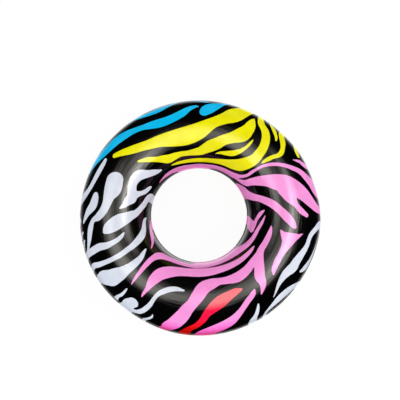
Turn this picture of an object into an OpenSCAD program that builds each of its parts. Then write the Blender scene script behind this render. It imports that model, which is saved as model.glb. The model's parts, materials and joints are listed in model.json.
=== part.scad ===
// Inflatable swim ring: two ring-shaped film panels welded together along an outer
// and an inner seam, with a push-in stopper valve on the underside.
// Lengths are in millimetres and angles in degrees. The origin is on the ring's axis,
// at the surface that the ring rests on. +Z is up, and the valve is on the +Y side.

/* [Ring] */
// Radius of the inflated tube's centre line
ring_radius = 270; // [220:1:400]
// Radius of the inflated tube
tube_radius = 112; // [80:1:140]
// Thickness of the film
film_t = 0.4; // [0.3:0.05:0.8]
// Depth by which the underside is pressed flat where the ring rests
rest_flat = 0.5; // [0.3:0.1:2]
// Width of the welded margin that stands out of the tube at each seam
seam_w = 3; // [2:0.5:10]
// Width of the bead of squeezed-out film along the trimmed edge of each seam
edge_bead_w = 1; // [0.5:0.1:2]
// Height by which that bead stands out of the margin's two faces
edge_bead_rise = 0.4; // [0.2:0.1:1]

/* [Valve place] */
// Bearing of the valve round the ring, from +X
valve_bearing = 90; // [0:1:359]
// Angle of the valve's axis below the outer seam
valve_dip = 40; // [25:1:60]

/* [Valve flange and boot] */
// Diameter of the flange that is welded inside the panel
flange_d = 44; // [36:1:60]
// Thickness of the flange
flange_t = 0.8; // [0.5:0.1:1.5]
// Diameter of the boot's mouth, where it meets the flange
boot_d = 25; // [22:0.5:32]
// Wall of the boot, the soft funnel that turns inside out as the valve moves
boot_wall = 0.8; // [0.5:0.1:1.2]
// Length of the straight rim at the boot's mouth
boot_rim = 2; // [1:0.5:4]
// Margin between the boot's mouth and the edge of the hole in the panel
hole_margin = 0.5; // [0.3:0.1:2]

/* [Valve stem] */
// Outer diameter of the stem
stem_d = 13; // [11:0.5:15]
// Diameter of the stem's bore
stem_bore = 8.4; // [6:0.2:9]
// Length of the stem from its mouth to its foot
stem_len = 20; // [15:1:30]
// Lead-in at the mouth of the bore
mouth_chamfer = 0.6; // [0.2:0.1:1]
// Width of the rim round the stem's foot
foot_rim_w = 1.5; // [1:0.25:3]
// Height of the rim round the stem's foot
foot_rim_t = 1.5; // [1:0.25:3]

/* [Stopper and strap] */
// Diameter of the stopper's head
cap_d = 15; // [13:0.5:18]
// Thickness of the stopper's head
cap_t = 1.6; // [1.2:0.1:3]
// Length of the stopper's plug
plug_len = 5; // [3:0.5:7]
// Wall of the hollow plug at its tip
plug_wall = 1.2; // [0.8:0.1:1.8]
// Length of the pull tab past the edge of the head
tab_len = 4; // [2:0.5:8]
// Width of the pull tab
tab_w = 7; // [4:0.5:10]
// Length of the strap past the edge of the head, to its bend
strap_len = 4.5; // [3:0.5:10]
// Width of the strap
strap_w = 4; // [3:0.5:7]
// Thickness of the strap
strap_t = 1.2; // [0.8:0.1:1.4]
// Wall of the strap's collar round the stem
collar_wall = 1.2; // [0.8:0.1:2]
// Height of the strap's collar
collar_t = 1.4; // [1.4:0.1:3]
// Distance of the collar below the stem's mouth
collar_drop = 0.5; // [0.3:0.1:2]
// Room between the strap and the panel with the valve pushed in
strap_clear = 0.6; // [0.4:0.1:3]

/* [Check flap] */
// Width of the flap's rim outside the bore that it closes
flap_rim = 1; // [0.6:0.1:1.5]
// Thickness of the flap
flap_t = 0.5; // [0.3:0.1:1]
// Width of the tongue that the flap hangs by
tongue_w = 5; // [3:0.5:7]

/* [Fits] */
// Gap between pieces that are seated against each other
seat_gap = 0.05; // [0.03:0.01:0.1]
// Radial gap between the plug and the bore
plug_gap = 0.05; // [0.03:0.01:0.1]
// Gap round the bends of the strap, and least room as the plug swings out of the bore
swing_gap = 0.3; // [0.1:0.05:0.4]

/* [Hidden] */
$fn = 96;

// The ring stands on z = 0, and its seams lie in the plane of the tube's centre line.
seam_z = tube_radius - rest_flat;
seam_t = 2 * film_t;
outer_edge = ring_radius + tube_radius;
inner_edge = ring_radius - tube_radius;
seam_root = 2 * film_t;
reach = outer_edge + seam_w + 1;

// Heights along the valve's axis, from the outer face of the panel.
collar_h = strap_clear;
mouth_h = collar_h + collar_t + collar_drop;
head_h = mouth_h + seat_gap;
foot_h = mouth_h - stem_len;
hinge_h = head_h + cap_t / 2;
boot_top_h = -film_t;
flap_h = foot_h - seat_gap - flap_t;
well_depth = stem_len + boot_d;

// Radii and distances from the valve's axis.
stem_r = stem_d / 2;
bore_r = stem_bore / 2;
foot_r = stem_r + foot_rim_w;
boot_r = boot_d / 2;
boot_foot_r = foot_r + seat_gap;
collar_r = stem_r + seat_gap;
cap_r = cap_d / 2;
hinge_x = -(cap_r + strap_len);
bead_r = strap_t / 2;
flap_r = bore_r + flap_rim;
flap_hinge_x = -(flap_r + flap_t);

// The plug tapers so far that its tip clears the mouth as the stopper swings open.
hinge_rise = hinge_h - mouth_h;
plug_root_r = bore_r - plug_gap;
swing_r = norm([bore_r - hinge_x, hinge_rise]) - swing_gap / 2;
plug_tip_r = sqrt(pow(swing_r, 2) - pow(plug_len + hinge_rise, 2)) + hinge_x;

film_black = [0.05, 0.05, 0.05];
weld_grey = [0.25, 0.25, 0.26];
valve_clear = [0.86, 0.88, 0.90];

// Everything between two heights, as wide as the ring.
module layer(low, high) {
    translate([-reach, -reach, low]) cube([2 * reach, 2 * reach, high - low]);
}

// The round tube, swelled to a radius.
module tube(radius) {
    translate([0, 0, seam_z]) rotate_extrude() translate([ring_radius, 0]) circle(r = radius);
}

// The tube from a floor up to a ceiling.
module tube_between(radius, floor_z, ceiling_z) {
    intersection() {
        tube(radius);
        layer(floor_z, ceiling_z);
    }
}

// Puts its children on the valve's axis: z = 0 is the panel's outer face, and +Z is outwards.
module at_valve() {
    rotate([0, 0, valve_bearing])
    translate([ring_radius, 0, seam_z])
    rotate([0, 90 + valve_dip, 0])
    translate([0, 0, tube_radius])
    children();
}

// A cylinder on the valve's axis, between two heights.
module valve_rod(radius, low, high) {
    translate([0, 0, low]) cylinder(r = radius, h = high - low);
}

// A flat strip from x = from to x = to, centred on y = 0.
module strip(from, to, width, low, high) {
    translate([from, -width / 2, low]) cube([to - from, width, high - low]);
}

// A round edge along y, such as a bead or a rolled end.
module bead(x, h, radius, width) {
    translate([x, width / 2, h]) rotate([90, 0, 0]) cylinder(r = radius, h = width);
}

module top_panel() {
    rim_z = seam_z + seam_t / 2;
    color(film_black)
    difference() {
        tube_between(tube_radius, rim_z, seam_z + reach);
        tube(tube_radius - film_t);
    }
}

module bottom_panel() {
    rim_z = seam_z - seam_t / 2;
    color(film_black)
    difference() {
        tube_between(tube_radius, 0, rim_z);
        tube_between(tube_radius - film_t, film_t, seam_z);
        at_valve() valve_rod(boot_r + hole_margin, -well_depth, well_depth);
    }
}

// A flat welded margin from its root in the film to its trimmed edge, which has a bead.
module weld_seam(root_r, edge_r) {
    bead_root_r = edge_r + sign(root_r - edge_r) * edge_bead_w;
    half_t = seam_t / 2;
    half_bead = half_t + edge_bead_rise;
    color(weld_grey)
    translate([0, 0, seam_z])
    rotate_extrude()
    polygon([
        [root_r, half_t],
        [bead_root_r, half_t],
        [bead_root_r, half_bead],
        [edge_r, half_bead],
        [edge_r, -half_bead],
        [bead_root_r, -half_bead],
        [bead_root_r, -half_t],
        [root_r, -half_t]
    ]);
}

module outer_weld_seam() {
    weld_seam(outer_edge - seam_root, outer_edge + seam_w);
}

module inner_weld_seam() {
    weld_seam(inner_edge + seam_root, inner_edge - seam_w);
}

// The flange lies against the inside of the panel and follows its curve.
module valve_flange() {
    face_r = tube_radius - film_t - seat_gap;
    color(valve_clear)
    difference() {
        intersection() {
            tube(face_r);
            at_valve() valve_rod(flange_d / 2, -well_depth, well_depth);
        }
        tube(face_r - flange_t);
        at_valve() valve_rod(boot_r + seat_gap, -well_depth, well_depth);
    }
}

module valve_boot() {
    rim_h = boot_top_h - boot_rim;
    color(valve_clear)
    at_valve()
    rotate_extrude()
    polygon([
        [boot_r, boot_top_h],
        [boot_r, rim_h],
        [boot_foot_r + boot_wall, foot_h],
        [boot_foot_r, foot_h],
        [boot_foot_r, foot_h + foot_rim_t],
        [boot_r - boot_wall, rim_h],
        [boot_r - boot_wall, boot_top_h]
    ]);
}

module valve_stem() {
    color(valve_clear)
    at_valve()
    difference() {
        union() {
            valve_rod(stem_r, foot_h, mouth_h);
            valve_rod(foot_r, foot_h, foot_h + foot_rim_t);
        }
        valve_rod(bore_r, foot_h - 1, mouth_h + 1);
        translate([0, 0, mouth_h - mouth_chamfer])
            cylinder(r1 = bore_r, r2 = bore_r + mouth_chamfer, h = mouth_chamfer);
    }
}

// The strap's collar grips the stem. The strap runs out from it and turns up to the bend.
module valve_strap() {
    strap_h = collar_h + (collar_t - strap_t) / 2;
    color(valve_clear)
    at_valve()
    difference() {
        union() {
            valve_rod(collar_r + collar_wall, collar_h, collar_h + collar_t);
            strip(hinge_x - bead_r, -stem_r, strap_w, strap_h, strap_h + strap_t);
            strip(hinge_x - bead_r, hinge_x + bead_r, strap_w, strap_h, hinge_h - bead_r - swing_gap);
        }
        valve_rod(collar_r, collar_h - 1, collar_h + collar_t + 1);
    }
}

// The stopper's head, its hollow tapered plug, its pull tab and its end of the strap.
module valve_stopper() {
    plug_h = head_h - plug_len;
    core_r = plug_tip_r - plug_wall;
    tab_x = cap_r + tab_len - tab_w / 2;
    color(valve_clear)
    at_valve()
    difference() {
        union() {
            valve_rod(cap_r, head_h, head_h + cap_t);
            translate([0, 0, plug_h]) cylinder(r1 = plug_tip_r, r2 = plug_root_r, h = plug_len);
            strip(0, tab_x, tab_w, head_h, head_h + cap_t);
            translate([tab_x, 0, 0]) valve_rod(tab_w / 2, head_h, head_h + cap_t);
            strip(hinge_x, 0, strap_w, hinge_h - bead_r, hinge_h + bead_r);
            bead(hinge_x, hinge_h, bead_r, strap_w);
        }
        valve_rod(core_r, plug_h - 1, head_h);
    }
}

// A thin disc that closes the stem's foot from inside, on a tongue with a rolled end.
module check_flap() {
    color(valve_clear)
    at_valve()
    union() {
        valve_rod(flap_r, flap_h, flap_h + flap_t);
        strip(flap_hinge_x, 0, tongue_w, flap_h, flap_h + flap_t);
        bead(flap_hinge_x, flap_h + flap_t / 2, flap_t / 2, tongue_w);
    }
}

top_panel();
bottom_panel();
outer_weld_seam();
inner_weld_seam();
valve_flange();
valve_boot();
valve_stem();
valve_strap();
valve_stopper();
check_flap();
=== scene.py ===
# Inflatable swim ring: two printed film panels, their weld seams and a push-in stopper valve.
import json
import math
import random

import bmesh
import bpy
import numpy as np
from mathutils import Matrix, Vector


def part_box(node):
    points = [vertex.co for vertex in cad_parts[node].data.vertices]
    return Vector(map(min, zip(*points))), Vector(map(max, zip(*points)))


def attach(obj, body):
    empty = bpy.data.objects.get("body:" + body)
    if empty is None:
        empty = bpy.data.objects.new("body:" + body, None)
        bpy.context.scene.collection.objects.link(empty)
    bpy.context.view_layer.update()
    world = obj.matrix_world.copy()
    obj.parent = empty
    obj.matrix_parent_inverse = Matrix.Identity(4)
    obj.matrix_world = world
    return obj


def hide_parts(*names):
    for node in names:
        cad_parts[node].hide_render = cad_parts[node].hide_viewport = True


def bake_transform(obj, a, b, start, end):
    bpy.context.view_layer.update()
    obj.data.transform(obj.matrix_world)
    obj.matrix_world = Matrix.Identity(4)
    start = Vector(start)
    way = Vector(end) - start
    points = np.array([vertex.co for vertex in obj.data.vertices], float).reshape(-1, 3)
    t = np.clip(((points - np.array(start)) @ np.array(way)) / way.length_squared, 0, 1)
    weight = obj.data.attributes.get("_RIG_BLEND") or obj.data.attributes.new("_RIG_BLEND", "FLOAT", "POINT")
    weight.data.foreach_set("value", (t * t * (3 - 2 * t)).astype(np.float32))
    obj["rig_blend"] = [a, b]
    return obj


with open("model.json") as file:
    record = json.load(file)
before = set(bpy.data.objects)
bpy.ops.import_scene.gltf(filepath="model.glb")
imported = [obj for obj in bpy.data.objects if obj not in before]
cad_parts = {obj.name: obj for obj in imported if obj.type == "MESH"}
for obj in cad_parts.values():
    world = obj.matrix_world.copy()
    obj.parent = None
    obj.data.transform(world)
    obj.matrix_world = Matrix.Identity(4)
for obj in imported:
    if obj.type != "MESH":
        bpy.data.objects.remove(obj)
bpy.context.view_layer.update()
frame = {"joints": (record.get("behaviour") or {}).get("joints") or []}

# Top panel
# The upper ring of soft glossy vinyl film, printed with animal stripes on black before it is cut out.
# Both its edges are welded to the lower panel, and the air inside swells it into half of a round tube.
seam_low, seam_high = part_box("outer_weld_seam")
top_low, top_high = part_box("top_panel")
seam_z = (seam_low.z + seam_high.z) / 2
tube_r = top_high.z - seam_z
ring_r = top_high.x - tube_r
film_t = 0.0004
weld_half_t = top_low.z - seam_z
top_columns = 720
top_rows = 96
inside_row_step = 4
mm = 0.001


def seen(red, green, blue):
    """A colour as the eye sees it, from 0 to 255, as the linear values that a material takes."""
    share = np.array([red, green, blue]) / 255
    linear = np.where(share <= 0.04045, share / 12.92, ((share + 0.055) / 1.055) ** 2.4)
    return (*linear.tolist(), 1.0)


film_black = seen(2, 2, 3)
sky_blue = seen(0, 194, 248)
lemon_yellow = seen(246, 239, 2)
candy_pink = seen(252, 153, 224)
cool_white = seen(220, 225, 239)

# Each stripe is a brush stroke of listed points: the bearing round the ring and the angle up
# over the tube from the outer weld, both in degrees, and half the stroke's width in millimetres.
blue_strokes = [
    [(161, 6, 18), (156.5, 22, 21.5), (151, 36, 21), (146, 43.5, 21), (140, 49, 21), (135, 54.5, 18),
     (130, 60.5, 12.5), (125, 66, 10.5), (120, 71, 13.5), (115, 74.5, 16), (110, 75.5, 15),
     (105, 73.5, 14.5), (100, 68.5, 14), (96, 61, 10.5), (92.5, 56, 7), (90.5, 55.5, 3)],
    [(130, 14, 10), (125, 27, 11), (119.5, 40, 12), (113.5, 43, 16), (109, 41, 13), (105, 37, 8),
     (100, 29, 5), (95, 27, 5), (90, 34, 5), (87, 38, 5), (85, 40, 3)],
    [(87, 68.5, 15), (85, 61.5, 21), (82, 52.5, 19.5), (79, 44.5, 12), (77, 36.5, 8), (75.5, 28.5, 6)],
]
yellow_strokes = [
    [(147.5, 68.5, 8), (139.5, 84.5, 13), (129.5, 96.5, 14.5), (120, 102.5, 18.5), (110, 107.5, 25),
     (100, 108.5, 29), (90, 102, 26), (80.5, 86.5, 18), (74, 74, 21), (69.5, 61, 28.5), (66, 41, 24.5),
     (64, 10, 24)],
    [(142, 106, 3), (136, 115, 7.5), (130, 124.5, 8.5), (125, 130.5, 12), (120, 136, 15), (115, 136.5, 13),
     (108, 136.5, 9.5), (100, 138, 9.5), (90, 136.5, 14), (85, 132, 16), (80, 125.5, 19), (75, 119, 18.5),
     (70.5, 110.5, 16.5), (65, 101.5, 17.5), (60, 90, 23.5), (58.5, 78, 19.5), (58.5, 68, 16), (59, 58, 9),
     (59, 50, 2)],
    [(120.5, 150, 1.5), (115, 151.5, 5), (105, 154, 7.5), (95, 155, 9), (85, 154.5, 9.5), (75, 152.5, 10),
     (64.5, 148, 12), (59.5, 145.5, 14.5), (54.5, 142, 17.5), (48.5, 134.5, 19.5), (44, 122, 18.5),
     (42, 110, 16.5), (42.5, 98, 15), (43.5, 87, 14), (46.5, 72, 13.5), (50, 60.5, 13.5), (54, 51.5, 13),
     (56, 40, 11), (57, 28, 9.5), (57.5, 12, 8)],
    [(74, 136.5, 1), (70, 132.5, 4), (65, 129.5, 7), (60, 125, 9), (56.5, 119, 8), (54, 112, 6),
     (52.5, 103, 4.5), (52, 95, 4), (52, 88, 1.5)],
    [(43.5, 12, 12), (43.5, 22, 12), (43, 35.5, 11), (41, 44.5, 11.5), (39, 51, 10), (36.5, 59.5, 7.5),
     (34.5, 68, 8), (34, 76, 7), (35, 85, 6.5), (35.5, 93, 6.5), (36, 101, 4), (36, 105.5, 1)],
    [(51, 29, 5), (49, 36.5, 8), (47, 43, 8.5), (45.5, 48, 7), (43.5, 53.5, 5.5), (42, 60, 2.5)],
    [(35, 12, 10), (34.5, 20, 10), (33, 29, 9.5), (31, 34.5, 10), (29, 38, 6)],
]
pink_strokes = [
    [(22.5, 12, 9), (23, 26, 9.5), (24, 35.5, 9.5), (26, 43, 6.5), (27, 50, 4), (28, 56, 1)],
    [(11.5, 8, 30), (11.5, 22.5, 30.5), (14, 33.5, 21), (17, 43.5, 15), (20.5, 53, 10), (24, 66, 7.5),
     (28, 80, 6), (31, 92, 5.5), (33.5, 105, 4.5), (34.5, 115, 4), (35.5, 128, 5), (36, 136, 4.5),
     (38.5, 145, 5), (42, 152.5, 7), (50, 163.5, 15), (60, 166.5, 14), (70, 169, 13.5), (80, 173, 16),
     (90, 176, 20), (100, 175.5, 19), (110, 173, 19), (120, 167.5, 13), (130, 165.5, 9.5), (137, 165.5, 5),
     (142, 166, 2)],
    [(89, 178, 25), (89, 205, 24)],
    [(46, 165.5, 4), (38, 159, 7), (31.5, 149.5, 10), (28.5, 136.5, 11.5), (25.5, 124.5, 14.5),
     (22.5, 112.5, 17.5), (19, 99.5, 24), (15.5, 86, 28.5), (12, 73, 26), (8, 60, 23), (4, 47.5, 19),
     (1.5, 34, 15), (1, 20, 12), (1, 6, 12)],
    [(13, 89, 25), (7, 84, 18.5), (2, 76, 8.5), (-1.5, 67.5, 9.5), (-3.5, 58, 7)],
    [(30, 200, 30), (29.5, 182, 30), (25.5, 169, 23), (19.5, 158, 15), (14.5, 146.5, 11.5),
     (11, 135.5, 10), (7.5, 125, 11), (3.5, 113.5, 12), (-2, 100.5, 12), (-6, 90.5, 13.5), (-9.5, 81, 11),
     (-11.5, 76, 6)],
    [(-1, 127, 1.5), (-4, 135, 7), (-9, 142, 7), (-14.5, 145.5, 9.5), (-20, 147, 9.5)],
    [(-19, 147.5, 11), (-16, 152, 15.5), (-13, 160, 16), (-9.5, 170, 15), (-6.5, 180, 13.5),
     (-4, 192, 13)],
    [(-6, 125.5, 1.5), (-12, 129.5, 5), (-20, 134.5, 7), (-28.5, 137, 9), (-36, 140.5, 12),
     (-43, 146.5, 16), (-50.5, 153.5, 24), (-60, 158.5, 30), (-75, 159, 29.5), (-85, 156.5, 26),
     (-94.5, 150.5, 15), (-105, 150, 13.5), (-115, 148.5, 12.5), (-122, 146, 13), (-127.5, 142, 14.5),
     (-131, 134, 12), (-132.5, 122, 8.5), (-132.5, 108, 7.5), (-132, 95, 6), (-131.5, 80, 4),
     (-131, 69, 1.5)],
    [(-44, 176, 8), (-50, 182, 20), (-70, 185, 24), (-90, 182, 20), (-97, 176, 8)],
    [(-34.5, 126, 2), (-40, 126, 6.5), (-50, 127, 9.5), (-60, 129, 12), (-70, 131, 14.5), (-80, 132, 17.5),
     (-90, 132, 18.5), (-100, 130.5, 17.5), (-108, 127, 18), (-114.5, 120, 19.5), (-119.5, 109.5, 19),
     (-121.5, 98, 16), (-122, 89, 12), (-122, 80, 7), (-122.5, 70, 4.5), (-122.5, 63, 1.5)],
    [(-14, 112, 1.5), (-20, 111.5, 7.5), (-28, 112, 9.5), (-35, 112, 10.5), (-41, 105.5, 14),
     (-45.5, 95.5, 15), (-49, 86, 15.5), (-50, 76, 11), (-52, 69, 7), (-54.5, 62.5, 2)],
    [(-14, 60.5, 1.5), (-18, 72, 9), (-24, 80, 12), (-30, 82, 9), (-35, 81, 9.5), (-40, 77.5, 7),
     (-42.5, 72.5, 2)],
    [(-15.5, 97, 1), (-18, 90.5, 8), (-21.5, 84, 10.5), (-25, 82, 11), (-30, 82, 9)],
    [(-15, 64, 2), (-17, 78, 7.5), (-17.5, 90, 6)],
    [(-140.5, 135.5, 1.5), (-144.5, 146, 4), (-150, 154.5, 8.5), (-157, 163, 11.5), (-163, 171, 13),
     (-167.5, 180, 14), (-171, 190, 14)],
]
# Pink stripes low on the near outside: their colour run darkens towards the outer weld as painted shade.
pink_strokes_with_painted_shade = [
    [(-35, 111.5, 10), (-45, 110, 11), (-53, 106.5, 13.5), (-61, 105, 15.5), (-69, 107.5, 12),
     (-75, 109.5, 11.5), (-80.5, 108.5, 17), (-86.5, 103.5, 20), (-90.5, 91.5, 19.5), (-94, 78.5, 16.5),
     (-96.5, 69.5, 18.5), (-98.5, 58.5, 21), (-100.5, 48, 22.5), (-102.5, 37, 22.5), (-104.5, 27, 21.5),
     (-105.5, 16.5, 17), (-107, 8, 15)],
    [(-56.5, 74.5, 3), (-58.5, 70, 8), (-63, 64, 9), (-67, 56, 9.5), (-71, 47, 13), (-75, 38.5, 19),
     (-79.5, 31, 23), (-84, 22.5, 27), (-87, 10, 32)],
]
white_strokes = [
    [(175.5, 8, 15.5), (173, 29, 15), (170, 42.5, 10.5), (165.5, 50, 9.5), (160, 54, 10), (155, 56, 9),
     (152, 56, 6)],
    [(186, 34, 4), (184.5, 39, 7), (181.5, 48, 12), (178.5, 58, 15.5), (175, 61.5, 13.5),
     (172.5, 62, 9.5)],
    [(201, 25, 6.5), (198.5, 35, 6.5), (195, 44, 10), (190.5, 51, 11), (186.5, 59, 7.5), (185, 69.5, 12),
     (181.5, 78.5, 13), (177, 83.5, 14), (172, 86, 18.5), (167, 89, 26.5), (161.5, 88, 26)],
    [(180.5, 104, 2), (178, 110.5, 7.5), (174, 116.5, 13), (170, 122, 17.5), (165, 119.5, 15),
     (160, 117, 14), (155, 117, 15.5), (150, 120.5, 16.5), (145, 130.5, 12), (140, 138, 10),
     (136, 143, 6.5), (132.5, 145.5, 3)],
    [(168, 124, 14), (164.5, 134.5, 7.5), (160.5, 143.5, 7.5), (155.5, 149, 7), (153, 152, 3.5)],
    [(194.5, 77, 7), (193, 84, 17), (191.5, 92.5, 21), (189.5, 102.5, 21), (188, 112, 17.5),
     (186, 121, 14), (183.5, 131.5, 10.5), (178.5, 141, 9.5), (172.5, 149.5, 10.5), (166, 155.5, 12),
     (163, 163, 14), (162.5, 175, 14), (162, 192, 14)],
    [(187, 155.5, 2.5), (190, 150, 6), (195, 146, 8.5), (200, 141.5, 9.5), (204.5, 133.5, 11),
     (207.5, 124, 10.5), (210, 111, 9), (211, 98, 8), (211.5, 86, 8), (211, 70, 7), (210, 54.5, 7.5),
     (209, 41.5, 8.5), (208, 30, 9), (208, 10, 9.5)],
    [(201.5, 8, 12), (201.5, 25, 10.5), (201.5, 45, 11.5), (201.5, 60, 11.5), (202.5, 72, 10),
     (202.5, 82, 8), (202, 92, 7), (200.5, 100, 5.5), (198.5, 105.5, 2)],
    [(217.5, 126, 2), (219, 119, 5), (221, 109, 8), (221.5, 99, 10.5), (221.5, 90, 12), (221, 80, 14.5),
     (220.5, 70, 19), (219.5, 60, 23.5), (218.5, 49, 26.5), (216.5, 39, 25), (215.5, 29, 20.5),
     (214.5, 18, 15), (214, 8, 12)],
    [(228.5, 58.5, 2), (228.5, 51, 4), (228, 40, 5), (227, 30, 5.5), (226.5, 15, 8.5)],
    [(260, 97, 2.5), (255, 97, 6.5), (250.5, 93, 8), (247, 86, 8), (245, 79, 6.5), (244, 70, 6),
     (243.5, 60, 7), (242.5, 50, 8), (241, 38.5, 8.5), (239, 28, 9.5), (236, 20, 11)],
    [(235, 43, 18.5), (233.5, 33, 20), (233.5, 18, 24), (232.5, 5, 25)],
    [(246.5, 42.5, 1.5), (246.5, 36.5, 3.5), (245.5, 29, 4.5), (244, 20, 5), (243, 9, 6.5)],
    [(354.5, 6, 12), (353.5, 22, 12), (350.5, 34.5, 9.5), (346.5, 44, 8.5), (340.5, 46, 9.5),
     (335.5, 50, 12.5), (331, 52.5, 15.5), (328, 52.5, 17.5), (323.5, 57, 14), (320, 57.5, 10.5),
     (315.5, 54, 6), (310, 43, 1.5)],
    [(353, 8, 8), (348, 10, 10), (344, 12, 11), (340, 14, 13), (335, 17, 16), (332, 23.5, 13),
     (329.5, 30, 6.5), (328.5, 33, 3)],
    [(323.5, 2, 14), (321.5, 15, 16.5), (317.5, 25.5, 19), (312.5, 29, 17.5), (308, 26.5, 12),
     (304, 20.5, 7), (302.5, 8, 6.5)],
    [(301.5, 50, 2.5), (300.5, 43.5, 5), (299.5, 37, 6.5), (298, 28.5, 8.5), (296.5, 20, 12.5),
     (296, 8, 15)],
    [(196, 4, 9), (196, 16, 8), (195, 24, 5), (194.5, 28.5, 2)],
    [(191.5, 4, 6.5), (191, 18, 5.5), (190.5, 28, 2.5)],
    [(183.5, 4, 12), (184, 14, 9), (184.5, 21, 4)],
]
red_strokes = [
    [(297, 85.5, 3.5), (293, 86, 10), (288, 83.5, 14), (283, 79, 18), (278.5, 72.5, 16.5),
     (274.5, 63.5, 12), (272, 52.5, 10.5), (269, 41.5, 10), (266, 33, 11), (264.5, 26, 12.5),
     (263.5, 18, 16), (263, 8, 18)],
]
# Most strokes are one colour all over; two of them run through several, by the angle up over the tube.
# These runs are painted light: the pink and the red darken towards the outer weld as painted shade,
# and the red turns salmon high on its stroke as a painted highlight.
inks = [
    ([(0, sky_blue)], blue_strokes),
    ([(0, lemon_yellow)], yellow_strokes),
    ([(0, candy_pink)], pink_strokes),
    ([(8, seen(226, 66, 146)), (20, seen(244, 92, 182)), (31, seen(252, 118, 212)), (44, candy_pink)],
     pink_strokes_with_painted_shade),
    ([(0, cool_white)], white_strokes),
    ([(20, seen(192, 0, 0)), (33, seen(222, 0, 0)), (42, seen(244, 0, 20)), (52, seen(254, 0, 62)),
      (68, seen(254, 0, 68)), (72, seen(252, 56, 92)), (79, seen(250, 104, 114))],
     red_strokes),
]

# A stroke that ends near the outer weld runs on past it; these two angles are in degrees.
runs_to_weld = 15
past_weld = -10
dab_step = 0.002
bare = 0.05
# The print is worked out sector by sector round the ring, from the dabs in a sector and beside it.
print_sectors = 36
beside_sector = math.radians(14)
sector_slack = 1.001


def turned_by(angle):
    """An angle in radians, brought into the half turn on either side of zero."""
    return (angle + math.pi) % (2 * math.pi) - math.pi


def all_round(steps):
    """Even steps round a full turn, in radians."""
    return np.arange(steps) * 2 * math.pi / steps


def brushed(stroke):
    """Close-set dabs along a stroke's smooth middle line: bearing, angle (radians), half width (metres)."""
    stroke = list(stroke)
    for end, place in ((stroke[0], 0), (stroke[-1], len(stroke) + 1)):
        if end[1] < runs_to_weld:
            stroke.insert(place, (end[0], past_weld, end[2]))
    points = np.array(stroke) * (math.radians(1), math.radians(1), mm)
    points = np.vstack([2 * points[0] - points[1], points, 2 * points[-1] - points[-2]])
    dabs = [points[-2:-1]]
    for before, start, end, after in zip(points, points[1:], points[2:], points[3:]):
        length = np.hypot((end[0] - start[0]) * ring_r, (end[1] - start[1]) * tube_r)
        t = np.linspace(0, 1, 2 + int(length / dab_step), endpoint=False)[:, None]
        bend = (2 * before - 5 * start + 4 * end - after) * t**2
        twist = (3 * start - before - 3 * end + after) * t**3
        dabs.append(start + 0.5 * ((end - before) * t + bend + twist))
    return np.vstack(dabs)


stroke_dabs = [(number, brushed(stroke)) for number, (_, strokes) in enumerate(inks) for stroke in strokes]
dab_ink = np.concatenate([np.full(len(dabs), number) for number, dabs in stroke_dabs])
dab_bearing, dab_angle, dab_half = np.vstack([dabs for _, dabs in stroke_dabs]).T


def printed(bearing, angle):
    """How deep each place on a panel lies inside a stripe (metres, below zero on black), and its colour."""
    depth = np.full(len(bearing), -bare)
    ink = np.zeros(len(bearing), int)
    half_sector = math.pi / print_sectors
    for middle in (np.arange(print_sectors) + 0.5) * 2 * half_sector:
        here = np.flatnonzero(np.abs(turned_by(bearing - middle)) <= half_sector * sector_slack)
        near = np.flatnonzero(np.abs(turned_by(dab_bearing - middle)) <= half_sector + beside_sector)
        radius = ring_r + tube_r * np.cos(angle[here, None])
        across = turned_by(bearing[here, None] - dab_bearing[near]) * radius
        along = (angle[here, None] - dab_angle[near]) * tube_r
        inside = dab_half[near] - np.hypot(across, along)
        depth[here] = np.maximum(inside.max(axis=1), -bare)
        ink[here] = dab_ink[near][inside.argmax(axis=1)]
    colour = np.ones((len(bearing), 4))
    # Two colour runs paint shade low on the tube, and the red one also paints a highlight high on it.
    for number, (run, _) in enumerate(inks):
        inked = ink == number
        stops, shades = zip(*run)
        for channel, levels in enumerate(zip(*shades)):
            colour[inked, channel] = np.interp(np.degrees(angle[inked]), stops, levels)
    return depth, colour


# Small gathers run out from a weld: how far off its even place each may be, as a share of their spacing,
# the least share of the full depth, and the lengths and widths. The weld itself holds the film flat.
gather_shift = 0.35
shallow_gather = 0.25
gather_lengths = (0.008, 0.026)
gather_widths = (0.003, 0.0055)
held_by_weld = 0.004


def gathers(bearing, from_weld, weld_r, count, deepest, seed):
    """How far the film dips in the small gathers that run out from a weld, over a grid of places."""
    pick = random.Random(seed)
    dip = np.zeros((len(bearing), len(from_weld)))
    held_flat = np.clip(from_weld / held_by_weld, 0, 1)
    for number in range(count):
        place = (number + pick.uniform(-gather_shift, gather_shift)) * 2 * math.pi / count
        depth = deepest * pick.uniform(shallow_gather, 1)
        length = pick.uniform(*gather_lengths)
        width = pick.uniform(*gather_widths)
        across = turned_by(bearing - place) * weld_r / width
        dip += depth * np.outer(np.exp(-across**2), held_flat * np.exp(-(from_weld / length) ** 2))
    return dip


# Blown film is never quite round: the bearing where the outside stands out or falls short, by how much,
# and over how wide a stretch. Bearings and stretches are in degrees.
uneven_places = [(-4, 0.008, 22), (31, 0.003, 9), (236, -0.0045, 18)]


def out_of_round(bearing):
    """How far the outside of the ring stands out at a bearing."""
    bulge = np.zeros(np.shape(bearing))
    for place, size, stretch in uneven_places:
        across = turned_by(bearing - math.radians(place)) / math.radians(stretch)
        bulge += size * np.exp(-across**2)
    return bulge


def on_tube(bearing, angle, radius, side):
    """Points on the tube: side is 1 over the upper panel and -1 over the lower one."""
    out = ring_r + radius * np.cos(angle) + out_of_round(bearing) * np.maximum(np.cos(angle), 0) ** 2
    rise = seam_z + side * radius * np.sin(angle)
    return np.stack([out * np.cos(bearing), out * np.sin(bearing), rise], axis=-1).reshape(-1, 3)


def closed_rows(columns, rows, first=0):
    """Faces between the rows of a grid that closes on itself round the ring."""
    column, row = np.meshgrid(np.arange(columns), np.arange(rows), indexing="ij")
    here = first + column * (rows + 1) + row
    beside = first + (column + 1) % columns * (rows + 1) + row
    return np.stack([here, beside, beside + 1, here + 1], axis=-1).reshape(-1, 4)


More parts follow.
